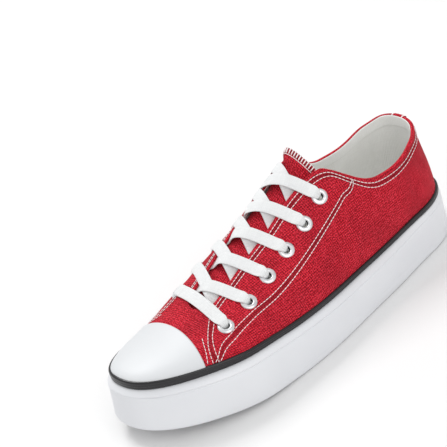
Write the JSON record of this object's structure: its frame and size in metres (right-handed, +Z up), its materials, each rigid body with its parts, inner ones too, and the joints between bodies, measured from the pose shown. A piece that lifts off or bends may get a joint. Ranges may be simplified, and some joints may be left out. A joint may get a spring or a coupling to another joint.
{
  "type": "canvas sneaker",
  "caption": "Low-top canvas sneaker for the left foot: hollow red canvas upper, white rubber sole with a black pinstripe, rubber toe cap, tongue, metal eyelets and flat laces.",
  "frame": {"origin": "on the floor, under the middle of the shoe's bounding box", "axes": "+X from heel to toe, +Y to the outer (lateral) side of the left foot, +Z up"},
  "size_m": [0.268, 0.092, 0.1034],
  "materials": {
    "outsole_rubber": "satin",
    "white_rubber": "satin",
    "black_rubber": "glossy",
    "insole_cloth": "matt",
    "red_canvas": "matt",
    "lace_cotton": "matt",
    "eyelet_metal": "satin"
  },
  "bodies": {
    "root": {"outsole": "outsole_rubber", "foxing": "white_rubber", "stripe": "black_rubber", "insole": "insole_cloth", "upper": "red_canvas", "toe_cap": "white_rubber", "heel_strip": "red_canvas", "tongue": "red_canvas", "lace_bar": "lace_cotton", "lace_cross_1": "lace_cotton", "lace_cross_2": "lace_cotton", "lace_cross_3": "lace_cotton", "lace_cross_4": "lace_cotton", "lace_cross_5": "lace_cotton", "eyelet_outer_1": "eyelet_metal", "eyelet_inner_1": "eyelet_metal", "eyelet_outer_2": "eyelet_metal", "eyelet_inner_2": "eyelet_metal", "eyelet_outer_3": "eyelet_metal", "eyelet_inner_3": "eyelet_metal", "eyelet_outer_4": "eyelet_metal", "eyelet_inner_4": "eyelet_metal", "eyelet_outer_5": "eyelet_metal", "eyelet_inner_5": "eyelet_metal", "eyelet_outer_6": "eyelet_metal", "eyelet_inner_6": "eyelet_metal"}
  },
  "joints": []
}
